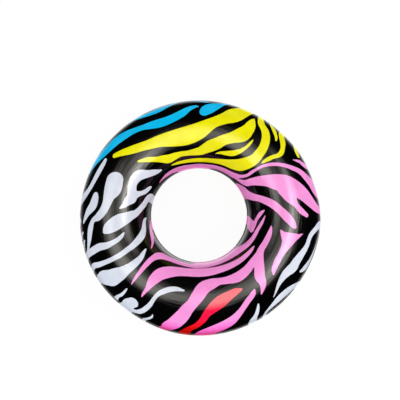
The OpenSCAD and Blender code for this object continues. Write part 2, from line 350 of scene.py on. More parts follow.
def rim_faces(loop, next_loop):
    """Faces between two closed loops of points, such as the outside and the inside of a film's cut edge."""
    return np.stack([loop, np.roll(loop, -1), np.roll(next_loop, -1), next_loop], axis=-1)


def smoothed(mesh, sharp=40):
    """Shades a mesh smooth, except at edges sharper than an angle in degrees."""
    mesh.shade_smooth()
    mesh.set_sharp_from_angle(angle=math.radians(sharp))


def make_piece(name, places, faces, **shading):
    """A closed mesh object from its points and faces."""
    mesh = bpy.data.meshes.new(name)
    mesh.from_pydata(np.asarray(places).tolist(), [], [list(face) for face in faces])
    work = bmesh.new()
    work.from_mesh(mesh)
    bmesh.ops.recalc_face_normals(work, faces=work.faces)
    work.to_mesh(mesh)
    work.free()
    smoothed(mesh, **shading)
    piece = bpy.data.objects.new(name, mesh)
    bpy.context.scene.collection.objects.link(piece)
    return piece


def keep_print(piece, depth, colour, bearing, angle):
    """Stores the print, with the painted shade and highlight in two of its colour runs, and the place
    on the film that its fine streaks follow, at each point.
    """
    attributes = piece.data.attributes
    attributes.new("ink_depth", "FLOAT", "POINT").data.foreach_set("value", depth)
    attributes.new("ink_colour_with_painted_light", "FLOAT_COLOR", "POINT").data.foreach_set("color", colour.ravel())
    place = np.stack([ring_r * np.cos(bearing), ring_r * np.sin(bearing), tube_r * angle], axis=-1)
    attributes.new("film_place", "FLOAT_VECTOR", "POINT").data.foreach_set("vector", place.ravel())


rim_angle = math.asin(weld_half_t / tube_r)
outer_weld_r = ring_r + tube_r
inner_weld_r = ring_r - tube_r
outer_gathers = dict(weld_r=outer_weld_r, count=104, deepest=0.0005)
inner_gathers = dict(weld_r=inner_weld_r, count=68, deepest=0.0009)


def swelled_film(columns, rows, seed):
    """A grid over a swelled panel: bearings, angles, and the radius with the gathers at both welds."""
    bearing = all_round(columns)
    angle = np.linspace(rim_angle, math.pi - rim_angle, rows + 1)
    outer_dip = gathers(bearing, tube_r * angle, seed=seed, **outer_gathers)
    inner_dip = gathers(bearing, tube_r * (math.pi - angle), seed=seed + 1, **inner_gathers)
    return *np.meshgrid(bearing, angle, indexing="ij"), tube_r - outer_dip - inner_dip


grid_bearing, grid_angle, grid_radius = swelled_film(top_columns, top_rows, seed=11)
inside = np.s_[:, ::inside_row_step]
top_places = np.vstack([
    on_tube(grid_bearing, grid_angle, grid_radius, 1),
    on_tube(grid_bearing[inside], grid_angle[inside], grid_radius[inside] - film_t, 1),
])
inside_rows = top_rows // inside_row_step
inside_first = top_columns * (top_rows + 1)
outside_rim = np.arange(top_columns) * (top_rows + 1)
inside_rim = inside_first + np.arange(top_columns) * (inside_rows + 1)
top_faces = np.vstack([
    closed_rows(top_columns, top_rows),
    closed_rows(top_columns, inside_rows, inside_first),
    rim_faces(outside_rim, inside_rim),
    rim_faces(outside_rim + top_rows, inside_rim + inside_rows),
])
top_film = make_piece("top_film", top_places, top_faces)
all_bearing = np.concatenate([grid_bearing.ravel(), grid_bearing[inside].ravel()])
all_angle = np.concatenate([grid_angle.ravel(), grid_angle[inside].ravel()])
depth, colour = printed(all_bearing, all_angle)
depth[inside_first:] = -bare
keep_print(top_film, depth, colour, all_bearing, all_angle)


def feed(tree, node, values):
    """Gives a node its values: each is a number or a colour, or the socket that feeds it."""
    for socket, value in values.items():
        if isinstance(value, bpy.types.NodeSocket):
            tree.links.new(value, node.inputs[socket])
        else:
            node.inputs[socket].default_value = value


def add_node(tree, kind, values=None, **settings):
    """A shader node with its settings and values."""
    made = tree.nodes.new(kind)
    for name, setting in settings.items():
        setattr(made, name, setting)
    feed(tree, made, values or {})
    return made


def calculated(tree, operation, *values):
    """The result of one step of arithmetic."""
    return add_node(tree, "ShaderNodeMath", dict(enumerate(values)), operation=operation).outputs["Value"]


def vector_step(tree, operation, values, result="Vector"):
    """The result of one step of vector arithmetic."""
    return add_node(tree, "ShaderNodeVectorMath", values, operation=operation).outputs[result]


def ranged(tree, value, given, wanted, **settings):
    """A value carried over from one range to another."""
    values = {"Value": value, "From Min": given[0], "From Max": given[1]}
    values.update({"To Min": wanted[0], "To Max": wanted[1]})
    return add_node(tree, "ShaderNodeMapRange", values, **settings).outputs["Result"]


def noise(tree, place, scale, detail, roughness=0.5):
    """Soft random values over a place."""
    values = {"Vector": place, "Scale": scale, "Detail": detail, "Roughness": roughness}
    return add_node(tree, "ShaderNodeTexNoise", values).outputs["Fac"]


def stored(tree, name):
    """What is stored at the points of a piece, as the outputs of the node that reads it."""
    return add_node(tree, "ShaderNodeAttribute", attribute_name=name).outputs


def raised(tree, height):
    """The normal of a surface that has a fine relief, from its height in metres."""
    bump = add_node(tree, "ShaderNodeBump", {"Height": height, "Distance": 1.0, "Strength": 1.0})
    return bump.outputs["Normal"]


def new_group(name, inputs, outputs):
    """An empty shader node group with its named sockets."""
    group = bpy.data.node_groups.new(name, "ShaderNodeTree")
    for way, sockets in (("INPUT", inputs), ("OUTPUT", outputs)):
        for socket, kind in sockets.items():
            group.interface.new_socket(socket, in_out=way, socket_type="NodeSocket" + kind)
    return group


def new_material(name):
    """A material with a Principled BSDF, its node tree and that shader."""
    material = bpy.data.materials.new(name)
    material.use_nodes = True
    tree = material.node_tree
    return material, tree, tree.nodes["Principled BSDF"]


# Nearly all of a noise's values lie between the two of most_noise.
vinyl_ior = 1.5
most_noise = (0.3, 0.7)
ragged_scale = 420.0
ragged_by = 0.00012
edge_soft = 0.0003
mottle_scale = 26.0
ink_density = (0.93, 1.03)


def stripe_print_group():
    """The stripes: ink on the film, with slightly ragged edges and uneven density.
    Two of its colour runs hold painted shade, and the red one also a painted highlight.
    """
    group = new_group("Stripe print", {"Film": "Color"}, {"Color": "Color"})
    film = add_node(group, "NodeGroupInput").outputs["Film"]
    place = add_node(group, "ShaderNodeTexCoord").outputs["Object"]
    ragged = noise(group, place, ragged_scale, detail=2.0)
    shift = ranged(group, ragged, most_noise, (-ragged_by, ragged_by))
    edge = calculated(group, "ADD", stored(group, "ink_depth")["Fac"], shift)
    mask = ranged(group, edge, (-edge_soft, edge_soft), (0.0, 1.0), interpolation_type="SMOOTHSTEP")
    mottle = noise(group, place, mottle_scale, detail=4.0)
    density = ranged(group, mottle, most_noise, ink_density)
    inked = vector_step(group, "SCALE", {0: stored(group, "ink_colour_with_painted_light")["Color"], "Scale": density})
    mixed = add_node(group, "ShaderNodeMix", {"Factor": mask, "A": film, "B": inked}, data_type="RGBA")
    add_node(group, "NodeGroupOutput", {"Color": mixed.outputs[2]})
    return group


# The streaks' and waves' scales run along the ring's two level axes and up over the tube.
streak_scale = (9.0, 9.0, 210.0)
streak_height = 0.00035
wave_scale = (6.0, 6.0, 32.0)
wave_height = 0.0012
haze = (0.1, 0.22)


def film_streaks_group():
    """The film's own surface: fine drawn lines that run round the ring, soft waves and a faint haze."""
    group = new_group("Film streaks", {}, {"Height": "Float", "Roughness": "Float"})
    film = stored(group, "film_place")["Vector"]
    drawn, wide = [
        add_node(group, "ShaderNodeMapping", {"Vector": film, "Scale": scale}).outputs["Vector"]
        for scale in (streak_scale, wave_scale)
    ]
    lines = noise(group, drawn, 1.0, detail=3.0)
    waves = noise(group, wide, 1.0, detail=3.0, roughness=0.6)
    line_height = calculated(group, "MULTIPLY", lines, streak_height)
    waves_height = calculated(group, "MULTIPLY", waves, wave_height)
    add_node(group, "NodeGroupOutput", {
        "Height": calculated(group, "ADD", line_height, waves_height),
        "Roughness": ranged(group, lines, most_noise, haze),
    })
    return group


stripe_print = stripe_print_group()
film_streaks = film_streaks_group()


def printed_film(name):
    """Printed vinyl film with a high gloss."""
    material, tree, film = new_material(name)
    stripes = add_node(tree, "ShaderNodeGroup", {"Film": film_black}, node_tree=stripe_print)
    streaks = add_node(tree, "ShaderNodeGroup", node_tree=film_streaks).outputs
    feed(tree, film, {
        "Base Color": stripes.outputs["Color"], "Roughness": streaks["Roughness"],
        "Normal": raised(tree, streaks["Height"]), "IOR": vinyl_ior,
    })
    return material


film_material = printed_film("printed_film")
top_film.data.materials.append(film_material)
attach(top_film, "float")
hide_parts("top_panel")

# Bottom panel
# The lower ring of the same printed film, cut from another stretch of the roll, so that its stripes don't
# meet those of the upper ring. It is pressed flat where the ring rests, and has a round hole for the valve.
bottom_columns = 640
bottom_rows = 72
hole_r = 0.013
weld_mark_in = 0.0145
weld_mark_out = 0.0205
weld_mark_depth = 0.0003
weld_mark_edge = 0.001
patch_columns = 16
patch_rows = 12
patch_rings = 10
print_turn = math.radians(130)

valve_push = next(joint for joint in frame["joints"] if joint["name"] == "valve_push")
valve_out = Vector(valve_push["axis"]).normalized()
valve_dip = math.asin(-valve_out.z)
valve_bearing = math.atan2(valve_out.y, valve_out.x)
valve_ring_r = ring_r + tube_r * math.cos(valve_dip)
valve_seat = Vector((0, ring_r, seam_z)) + tube_r * valve_out

# The grid is cut out in a block round the valve, and rings of points lead from its edge to the round hole.
grid_bearing, grid_angle, grid_radius = swelled_film(bottom_columns, bottom_rows, seed=23)
valve_column = round(valve_bearing / (2 * math.pi) * bottom_columns)
valve_row = round((valve_dip - rim_angle) / (math.pi - 2 * rim_angle) * bottom_rows)
first_column, last_column = valve_column - patch_columns // 2, valve_column + patch_columns // 2
first_row, last_row = valve_row - patch_rows // 2, valve_row + patch_rows // 2
block_edge = [(column, first_row) for column in range(first_column, last_column)]
block_edge += [(last_column, row) for row in range(first_row, last_row)]
block_edge += [(column, last_row) for column in range(last_column, first_column, -1)]
block_edge += [(first_column, row) for row in range(last_row, first_row, -1)]
block_index = np.array([column * (bottom_rows + 1) + row for column, row in block_edge])
edge_across = (grid_bearing.ravel()[block_index] - valve_bearing) * valve_ring_r
edge_along = (grid_angle.ravel()[block_index] - valve_dip) * tube_r
edge_reach = np.hypot(edge_across, edge_along)
share = np.linspace(0, 1, patch_rings + 1)[1:, None]
ring_reach = edge_reach * (1 - share) + hole_r * share
patch_across = ring_reach * edge_across / edge_reach
patch_along = ring_reach * edge_along / edge_reach
mark_in = np.clip((ring_reach - weld_mark_in) / weld_mark_edge, 0, 1)
mark_out = np.clip((weld_mark_out - ring_reach) / weld_mark_edge, 0, 1)
patch_radius = tube_r - weld_mark_depth * (mark_in * mark_out)

sheet_bearing = np.concatenate([grid_bearing.ravel(), (valve_bearing + patch_across / valve_ring_r).ravel()])
sheet_angle = np.concatenate([grid_angle.ravel(), (valve_dip + patch_along / tube_r).ravel()])
sheet_radius = np.concatenate([grid_radius.ravel(), patch_radius.ravel()])
outer_sheet = on_tube(sheet_bearing, sheet_angle, sheet_radius, -1)
inner_sheet = on_tube(sheet_bearing, sheet_angle, sheet_radius - film_t, -1)
outer_sheet[:, 2] = np.maximum(outer_sheet[:, 2], 0)
inner_sheet[:, 2] = np.maximum(inner_sheet[:, 2], film_t)

grid_faces = closed_rows(bottom_columns, bottom_rows)
face_column, face_row = np.divmod(np.arange(len(grid_faces)), bottom_rows)
in_columns = (face_column >= first_column) & (face_column < last_column)
in_rows = (face_row >= first_row) & (face_row < last_row)
patch_first = bottom_columns * (bottom_rows + 1)
loops = [block_index]
for ring in range(patch_rings):
    loops.append(patch_first + ring * len(block_edge) + np.arange(len(block_edge)))
patch_faces = [rim_faces(loop, next_loop) for loop, next_loop in zip(loops, loops[1:])]
sheet_faces = np.vstack([grid_faces[~(in_columns & in_rows)], *patch_faces])
sheet_size = len(sheet_bearing)
weld_rim = np.arange(bottom_columns) * (bottom_rows + 1)
edges = [weld_rim, weld_rim + bottom_rows, loops[-1]]
edge_faces = [rim_faces(edge, edge + sheet_size) for edge in edges]
bottom_faces = np.vstack([sheet_faces, sheet_faces + sheet_size, *edge_faces])
used = np.unique(bottom_faces)
renumbered = np.zeros(2 * sheet_size, int)
renumbered[used] = np.arange(len(used))
bottom_places = np.vstack([outer_sheet, inner_sheet])[used]
bottom_film = make_piece("bottom_film", bottom_places, renumbered[bottom_faces])
all_bearing = np.tile(sheet_bearing, 2)[used]
all_angle = np.tile(sheet_angle, 2)[used]
depth, colour = printed(print_turn - all_bearing, all_angle)
depth[used >= sheet_size] = -bare
keep_print(bottom_film, depth, colour, all_bearing, all_angle)
bottom_film.data.materials.append(film_material)
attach(bottom_film, "float")
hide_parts("bottom_panel")

# Weld seams
# The margins of both panels are pressed together by a hot ribbed tool and trimmed close to the weld.
# They stand out as thin flat rings, outside and in the hole, with a bead of squeezed film along the cut.
seam_columns = 1440
rib_pitch = 0.0015
rib_relief = 0.00003
weld_dullness = 0.2
weld_grey = seen(112, 110, 110)
# Half of a margin's section in millimetres: the distance out from the tube's edge and the half thickness.
margin_section = [
    (-0.8, 0.4), (1.0, 0.4), (1.8, 0.42), (2.1, 0.6), (2.35, 0.78), (2.65, 0.8), (2.88, 0.62), (3, 0.25),
]
# The margin waves up and down, and its trimmed edge runs in and out: how many times round, and how far.
lift_counts = (40, 90)
lift_by = 0.00013
trim_counts = (9, 31)
trim_by = 0.00006


def ribbed_weld(name):
    """Film that the welding tool pressed: fine ribs across the margin, a duller gloss, and its black drawn
    grey.
    """
    material, tree, film = new_material(name)
    stripes = add_node(tree, "ShaderNodeGroup", {"Film": weld_grey}, node_tree=stripe_print)
    streaks = add_node(tree, "ShaderNodeGroup", node_tree=film_streaks).outputs
    turns = calculated(tree, "MULTIPLY", stored(tree, "along_weld")["Fac"], 2 * math.pi / rib_pitch)
    ribs = calculated(tree, "SINE", turns)
    height = calculated(tree, "MULTIPLY_ADD", ribs, rib_relief, streaks["Height"])
    feed(tree, film, {
        "Base Color": stripes.outputs["Color"],
        "Roughness": calculated(tree, "ADD", streaks["Roughness"], weld_dullness),
        "Normal": raised(tree, height), "IOR": vinyl_ior,
    })
    return material


weld_material = ribbed_weld("weld")


def waved(pick, bearing, counts, times):
    """A sum of even waves round the ring, each with a random count and start."""
    wave = np.zeros(len(bearing))
    for _ in range(times):
        wave += np.sin(pick.randint(*counts) * bearing + pick.uniform(0, 2 * math.pi))
    return wave


def weld_seam(name, node, weld_r, outward, seed):
    """A trimmed weld margin: a thin ring that waves a little, more so towards its cut edge."""
    pick = random.Random(seed)
    bearing = all_round(seam_columns)
    wave = waved(pick, bearing, lift_counts, times=5)
    trim = waved(pick, bearing, trim_counts, times=3)
    section = np.array(margin_section + [(out, -half) for out, half in reversed(margin_section)]) * mm
    out, rise = section.T
    towards_cut = np.clip(out / out.max(), 0, 1) ** 2
    radius = weld_r + outward * (out + trim_by * np.outer(trim, towards_cut))
    if outward > 0:
        radius += out_of_round(bearing)[:, None]
    height = seam_z + rise + lift_by * np.outer(wave, towards_cut)
    turn = bearing[:, None]
    places = np.stack([radius * np.cos(turn), radius * np.sin(turn), height], axis=-1).reshape(-1, 3)
    first = np.arange(seam_columns) * len(section)
    closing = rim_faces(first, first + len(section) - 1)
    faces = np.vstack([closed_rows(seam_columns, len(section) - 1), closing])
    piece = make_piece(name, places, faces, sharp=50)
    point_bearing = np.repeat(bearing, len(section))
    point_angle = np.full(len(places), 0.0 if outward > 0 else math.pi)
    depth, colour = printed(point_bearing, point_angle)
    low_depth, low_colour = printed(print_turn - point_bearing, point_angle)
    below = np.tile(rise < 0, seam_columns)
    depth[below] = low_depth[below]
    colour[below] = low_colour[below]
    keep_print(piece, depth, colour, point_bearing, point_angle)
    along = point_bearing * weld_r
    piece.data.attributes.new("along_weld", "FLOAT", "POINT").data.foreach_set("value", along)
    piece.data.materials.append(weld_material)
    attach(piece, "float")
    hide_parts(node)


weld_seam("outer_weld", "outer_weld_seam", outer_weld_r, 1, seed=31)
weld_seam("inner_weld", "inner_weld_seam", inner_weld_r, -1, seed=32)

# Valve flange
# A thin disc of milky vinyl, moulded with the boot and welded by a ring-shaped tool inside the lower panel.
# It follows the panel's curve, and from outside only the mark of its weld shows round the hole.
round_steps = 96
ease_steps = 5
cloud_scale = 160.0
cloud_shade = (0.9, 1.05)
skin_scale = 2200.0
skin_height = 0.00003
skin_roughness = (0.24, 0.4)


def eased(corners):
    """An outline from its corners: across, up, and the distance over which each corner is rounded off."""
    outline = []
    for before, corner, after in zip(corners[-1:] + corners, corners, corners[1:] + corners[:1]):
        middle = np.array(corner[:2], float)
        if corner[2] == 0:
            outline.append(middle)
            continue
        arms = [np.array(other[:2], float) - middle for other in (before, after)]
        start, end = [middle + arm / np.linalg.norm(arm) * corner[2] for arm in arms]
        for t in np.linspace(0, 1, ease_steps):
            outline.append((1 - t) ** 2 * start + 2 * t * (1 - t) * middle + t**2 * end)
    return np.array(outline)


def looped(steps, rings):
    """Faces of a section swept right round: every ring joins the next, and the last joins the first."""
    step, ring = np.meshgrid(np.arange(steps), np.arange(rings), indexing="ij")
    here = step * rings + ring
    above = step * rings + (ring + 1) % rings
    beside = (step + 1) % steps * rings
    return np.stack([here, beside + ring, beside + (ring + 1) % rings, above], axis=-1).reshape(-1, 4)


def milky_vinyl_group():
    """Moulded milky vinyl: faint clouds in its colour, and a fine moulded skin."""
    outputs = {"Color": "Color", "Roughness": "Float", "Height": "Float"}
    group = new_group("Milky vinyl", {"Tint": "Color"}, outputs)
    tint = add_node(group, "NodeGroupInput").outputs["Tint"]
    place = add_node(group, "ShaderNodeTexCoord").outputs["Object"]
    clouds = noise(group, place, cloud_scale, detail=3.0)
    skin = noise(group, place, skin_scale, detail=2.0)
    shade = ranged(group, clouds, most_noise, cloud_shade)
    add_node(group, "NodeGroupOutput", {
        "Color": vector_step(group, "SCALE", {0: tint, "Scale": shade}),
        "Roughness": ranged(group, clouds, most_noise, skin_roughness),
        "Height": calculated(group, "MULTIPLY", skin, skin_height),
    })
    return group


milky_vinyl = milky_vinyl_group()


def moulded_vinyl(name, tint, clear):
    """Soft moulded vinyl that lets some light through."""
    material, tree, vinyl = new_material(name)
    look = add_node(tree, "ShaderNodeGroup", {"Tint": tint}, node_tree=milky_vinyl).outputs
    feed(tree, vinyl, {
        "Base Color": look["Color"], "Roughness": look["Roughness"], "Normal": raised(tree, look["Height"]),
        "IOR": vinyl_ior, "Transmission Weight": clear,
    })
    return material


valve_material = moulded_vinyl("valve_vinyl", tint=seen(226, 231, 236), clear=0.15)

# Distance from the valve's axis and depth below the film's outer face, in millimetres.
flange_corners = [(12.6, 0.45, 0.2), (22, 0.45, 0.3), (22, 1.25, 0.3), (12.6, 1.25, 0.2)]
flange_section = eased(flange_corners) * mm
flange_turn = all_round(round_steps)[:, None]
flange_across = flange_section[:, 0] * np.cos(flange_turn)
flange_along = flange_section[:, 0] * np.sin(flange_turn)
flange_places = on_tube(
    valve_bearing + flange_across / valve_ring_r,
    valve_dip + flange_along / tube_r,
    np.broadcast_to(tube_r - flange_section[:, 1], flange_across.shape),
    -1,
)
flange = make_piece("flange_disc", flange_places, looped(round_steps, len(flange_section)))
flange.data.materials.append(valve_material)
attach(flange, "float")
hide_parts("valve_flange")

# Valve boot
# The soft funnel between the flange and the foot of the stem, moulded thin so that it can turn inside out:
# the valve is pulled out of the tube to blow, and pushed in afterwards to lie flush.
valve_down = valve_out.cross(Vector((1, 0, 0))).normalized()
valve_side = valve_out.cross(valve_down)


def at_valve(across, sideways, height):
    """Points by the valve: millimetres from its axis, two ways, and above the film's outer face."""
    axes = np.array([valve_down, valve_side, valve_out])
    offsets = np.stack(np.broadcast_arrays(across, sideways, height), axis=-1) * mm
    return (np.array(valve_seat) + offsets @ axes).reshape(-1, 3)


def on_valve_axis(height):
    """The point on the valve's axis at a height in millimetres."""
    return Vector(at_valve(0, 0, height)[0])


def lathed(name, section):
    """A piece turned about the valve's axis from its closed section: radius and height in millimetres."""
    turn = all_round(round_steps)[:, None]
    places = at_valve(section[:, 0] * np.cos(turn), section[:, 0] * np.sin(turn), section[:, 1])
    return make_piece(name, places, looped(round_steps, len(section)))


boot_corners = [
    (12.5, -0.4, 0.2), (12.5, -2.6, 1), (11.6, -6.5, 1.5), (10.6, -10, 1.5), (9.3, -14, 1.5),
    (8.85, -17.5, 0.2), (8.05, -17.5, 0.2), (8.05, -15.5, 1), (8.5, -13.5, 1.5), (9.8, -9.8, 1.5),
    (10.8, -6.3, 1.5), (11.7, -2.4, 1), (11.7, -0.4, 0.2),
]
boot_bends_from = -2.4
boot_bends_to = -16.0
boot = lathed("boot_funnel", eased(boot_corners))
boot.data.materials.append(valve_material)
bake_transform(boot, "float", "valve", on_valve_axis(boot_bends_from), on_valve_axis(boot_bends_to))
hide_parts("valve_boot")

# Valve stem
# The short tube that is blown into, moulded in soft milky vinyl with a rounded mouth and two faint grip
# rings. A rim round its foot sits in the end of the boot.
stem_corners = [
    (6.5, 2.5, 0.5), (6.5, -3.4, 0.2), (6.8, -3.8, 0.2), (6.5, -4.2, 0.2), (6.5, -6.4, 0.2),
    (6.8, -6.8, 0.2), (6.5, -7.2, 0.2), (6.5, -16, 0.4), (8, -16, 0.4), (8, -17.5, 0.4),
    (4.2, -17.5, 0.2), (4.2, 1.9, 0.2), (4.8, 2.5, 0.15),
]
stem = lathed("stem_tube", eased(stem_corners))
stem.data.materials.append(valve_material)
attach(stem, "valve")
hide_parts("valve_stem")

# Valve strap
# A collar that grips the stem, with the flat strap that keeps the stopper, moulded in one with the stopper.
# The strap leaves the collar, turns up in a tight bend and comes back over itself to the stopper's head.
strap_half_w = 2.0
strap_half_t = 0.6
strap_edge = 0.35
bend_steps = 8
lower_run_h = 1.3
upper_run_h = 3.35
bend_r = (upper_run_h - lower_run_h) / 2
bend_x = -11.0
strap_bends_from = 2.05
strap_bends_to = 2.7
collar_corners = [(6.55, 0.6, 0.15), (7.75, 0.6, 0.35), (7.75, 2, 0.35), (6.55, 2, 0.15)]
strap_section = eased([
    (-strap_half_w, -strap_half_t, strap_edge), (strap_half_w, -strap_half_t, strap_edge),
    (strap_half_w, strap_half_t, strap_edge), (-strap_half_w, strap_half_t, strap_edge),
])
collar = lathed("strap_loop", eased(collar_corners))

# The strap's middle line from the collar to the head: across, up, and the direction that it runs in.
strap_line = [(x, lower_run_h, math.pi) for x in (-7.1, -8.5, -10)]
for step in range(bend_steps + 1):
    swing = math.pi * step / bend_steps
    across = bend_x - bend_r * math.sin(swing)
    strap_line.append((across, lower_run_h + bend_r * (1 - math.cos(swing)), math.pi - swing))
strap_line += [(x, upper_run_h, 0) for x in (-10, -8.5, -6.6)]
strap_places = []
for across, up, heading in strap_line:
    shift = -math.sin(heading) * strap_section[:, 1], math.cos(heading) * strap_section[:, 1]
    strap_places.append(at_valve(across + shift[0], strap_section[:, 0], up + shift[1]))
loops = np.arange(len(strap_line) * len(strap_section)).reshape(len(strap_line), -1)
strap_faces = [loops[0], loops[-1]]
for loop, next_loop in zip(loops, loops[1:]):
    strap_faces += rim_faces(loop, next_loop).tolist()
strap = make_piece("strap", np.vstack(strap_places), strap_faces)


def fused(piece, other):
    """One closed mesh out of two that overlap."""
    join = piece.modifiers.new("fuse", "BOOLEAN")
    join.operation = "UNION"
    join.object = other
    joined = bpy.data.meshes.new_from_object(piece.evaluated_get(bpy.context.evaluated_depsgraph_get()))
    piece.modifiers.clear()
    piece.data = joined
    bpy.data.objects.remove(other)
    smoothed(joined)
    return piece


strap_loop = fused(collar, strap)
strap_loop.data.materials.append(valve_material)
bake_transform(strap_loop, "valve", "stopper", on_valve_axis(strap_bends_from), on_valve_axis(strap_bends_to))
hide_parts("valve_strap")

# Stopper
# The soft plug that closes the stem's mouth: a round head with a shallow dish, a ribbed pull tab on one side
# and a hollow tapered plug below. It is moulded in one piece with the end of the strap.
head_steps = 144
head_r = 7.5
tab_end = 8.0
tab_half_w = 3.5
head_low = 2.55
head_top = 4.15
top_edge_r = 0.5
low_edge_r = 0.4
plug_root_r = 4.15
plug_tip_r = 2.97
plug_core_r = 1.77
plug_low = -2.45
core_top = head_low - 0.2
dish_r = 5.5
dish_depth = 0.35
rib_height = 0.2
rib_spacing = 1.0
rib_fade = 0.3
rib_margin = 0.9
top_rings = 30


def outline_with_lug(steps, round_r, lug_end, lug_half_w):
    """The radius, at each step round, of a disc with a round-ended lug towards the first step."""
    turn = all_round(steps)
    ahead, aside = np.cos(turn), np.abs(np.sin(turn))
    side = lug_half_w / np.maximum(aside, 1e-6)
    past = lug_end * ahead + np.sqrt(np.maximum(lug_half_w**2 - (lug_end * aside) ** 2, 0))
    lug = np.where(side * ahead <= lug_end, side, past)
    return turn, np.where(ahead > 0, np.maximum(round_r, lug), round_r)


def ringed(name, turn, rings, top, bottom):
    """A closed piece from rings of points round the valve's axis, with a point at either end."""
    places = [at_valve(0, 0, top)]
    for radius, height in rings:
        places.append(at_valve(radius * np.cos(turn), radius * np.sin(turn), height))
    places.append(at_valve(0, 0, bottom))
    loops = 1 + np.arange(len(rings) * len(turn)).reshape(len(rings), -1)
    faces = []
    for tip, loop in ((0, loops[0]), (loops[-1, -1] + 1, loops[-1])):
        faces += [[tip, here, beside] for here, beside in zip(loop, np.roll(loop, -1))]
    for loop, next_loop in zip(loops, loops[1:]):
        faces += rim_faces(loop, next_loop).tolist()
    return make_piece(name, np.vstack(places), faces)


turn, head_outline = outline_with_lug(head_steps, head_r, tab_end, tab_half_w)
stopper_rings = []
for number in range(1, top_rings + 1):
    radius = (head_outline - top_edge_r) * number / top_rings
    dish = dish_depth * np.clip(1 - (radius / dish_r) ** 2, 0, 1) ** 2
    along_tab = radius * np.cos(turn)
    root_fade = np.clip((along_tab - head_r) / rib_fade, 0, 1)
    end_fade = np.clip((tab_end + tab_half_w - rib_margin - along_tab) / rib_fade, 0, 1)
    waves = np.clip(np.cos((along_tab - head_r) / rib_spacing * 2 * math.pi - math.pi), 0, 1)
    ribs = rib_height * (root_fade * end_fade) * waves
    stopper_rings.append((radius, head_top - dish + ribs))
quarter_turn = np.linspace(0, math.pi / 2, ease_steps)
for swing in quarter_turn[1:]:
    radius = head_outline - top_edge_r + top_edge_r * math.sin(swing)
    stopper_rings.append((radius, head_top - top_edge_r + top_edge_r * math.cos(swing)))
for swing in quarter_turn:
    radius = head_outline - low_edge_r + low_edge_r * math.cos(swing)
    stopper_rings.append((radius, head_low + low_edge_r - low_edge_r * math.sin(swing)))
# Radius and height, down the outside of the plug and up its hollow core.
plug_profile = [
    (plug_root_r + 0.4, head_low), (plug_root_r + 0.1, head_low - 0.1), (plug_root_r, head_low - 0.4),
    (plug_tip_r + 0.15, plug_low + 0.6), (plug_tip_r - 0.05, plug_low + 0.2), (plug_tip_r - 0.3, plug_low),
    (plug_core_r + 0.2, plug_low), (plug_core_r, plug_low + 0.2), (plug_core_r, head_low - 0.5),
    (plug_core_r - 0.3, core_top),
]
stopper_rings += [(np.full(len(turn), radius), height) for radius, height in plug_profile]
stopper = ringed("stopper_plug", turn, stopper_rings, head_top - dish_depth, core_top)
stopper.data.materials.append(valve_material)
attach(stopper, "stopper")
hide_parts("valve_stopper")

# Check flap
# A small disc of thin clear film that lies over the stem's foot from inside and keeps the air in while
# blowing. It hangs on a short tongue, welded at its end to the foot's rim.
flap_steps = 72
flap_r = 5.2
flap_low = -18.05
flap_top = -17.55
flap_edge = 0.12
flap_inner_rings = (0.35, 0.7)
tongue_end = 3.2
tongue_half_w = 2.5
flap_material = moulded_vinyl("flap_film", tint=seen(228, 232, 236), clear=0.6)
turn, flap_outline = outline_with_lug(flap_steps, flap_r, tongue_end, tongue_half_w)
flap_rings = [(flap_outline * share, flap_top) for share in flap_inner_rings]
flap_rings += [(flap_outline - flap_edge, flap_top), (flap_outline, flap_top - flap_edge)]
flap_rings += [(flap_outline, flap_low + flap_edge), (flap_outline - flap_edge, flap_low)]
flap_rings += [(flap_outline * share, flap_low) for share in flap_inner_rings[::-1]]
flap = ringed("flap_disc", turn + math.pi, flap_rings, flap_top, flap_low)
flap.data.materials.append(flap_material)
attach(flap, "flap")
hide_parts("check_flap")

# Studio
# A pale floor without edges and soft lights: two large ones on the left and right, a narrow one on the
# right, a weaker one between and a fill from the front. The camera has the photograph's viewing angle.
floor_r = 20.0
floor_steps = 96
floor_drop = 0.0005
floor_pale = (0.82, 0.82, 0.82, 1.0)
floor_glow = 0.92
floor_bounce = 0.5
white_glow = 1.03
plain_from = 0.8
plain_to = 3.0

bpy.ops.mesh.primitive_circle_add(vertices=floor_steps, radius=floor_r, fill_type="NGON")
floor = bpy.context.object
floor.location.z = -floor_drop
floor.name = "floor"
floor_material = bpy.data.materials.new("pale_floor")
floor_material.use_nodes = True
tree = floor_material.node_tree
tree.nodes.clear()
path = add_node(tree, "ShaderNodeLightPath").outputs
looked_at = calculated(tree, "MAXIMUM", path["Is Camera Ray"], path["Is Transmission Ray"])
place = add_node(tree, "ShaderNodeTexCoord").outputs["Object"]
from_centre = vector_step(tree, "LENGTH", {0: place}, "Value")
glowing = ranged(tree, from_centre, (plain_from, plain_to), (floor_glow, 1.0))
seen_glow = calculated(tree, "MULTIPLY", looked_at, glowing)
shown = calculated(tree, "MULTIPLY_ADD", path["Is Diffuse Ray"], floor_bounce, seen_glow)
lit = add_node(tree, "ShaderNodeBsdfDiffuse", {"Color": floor_pale}).outputs["BSDF"]
glow = add_node(tree, "ShaderNodeEmission", {"Strength": white_glow}).outputs["Emission"]
pale = add_node(tree, "ShaderNodeMixShader", {0: shown, 1: lit, 2: glow}).outputs["Shader"]
# The floor is clear from below, so that the underside can be looked at, and in the gloss, where the
# room shows.
below = add_node(tree, "ShaderNodeNewGeometry").outputs["Backfacing"]
unseen = calculated(tree, "MAXIMUM", below, path["Is Glossy Ray"])
clear = add_node(tree, "ShaderNodeBsdfTransparent").outputs["BSDF"]
one_sided = add_node(tree, "ShaderNodeMixShader", {0: unseen, 1: pale, 2: clear}).outputs["Shader"]
add_node(tree, "ShaderNodeOutputMaterial", {"Surface": one_sided})
floor.data.materials.append(floor_material)

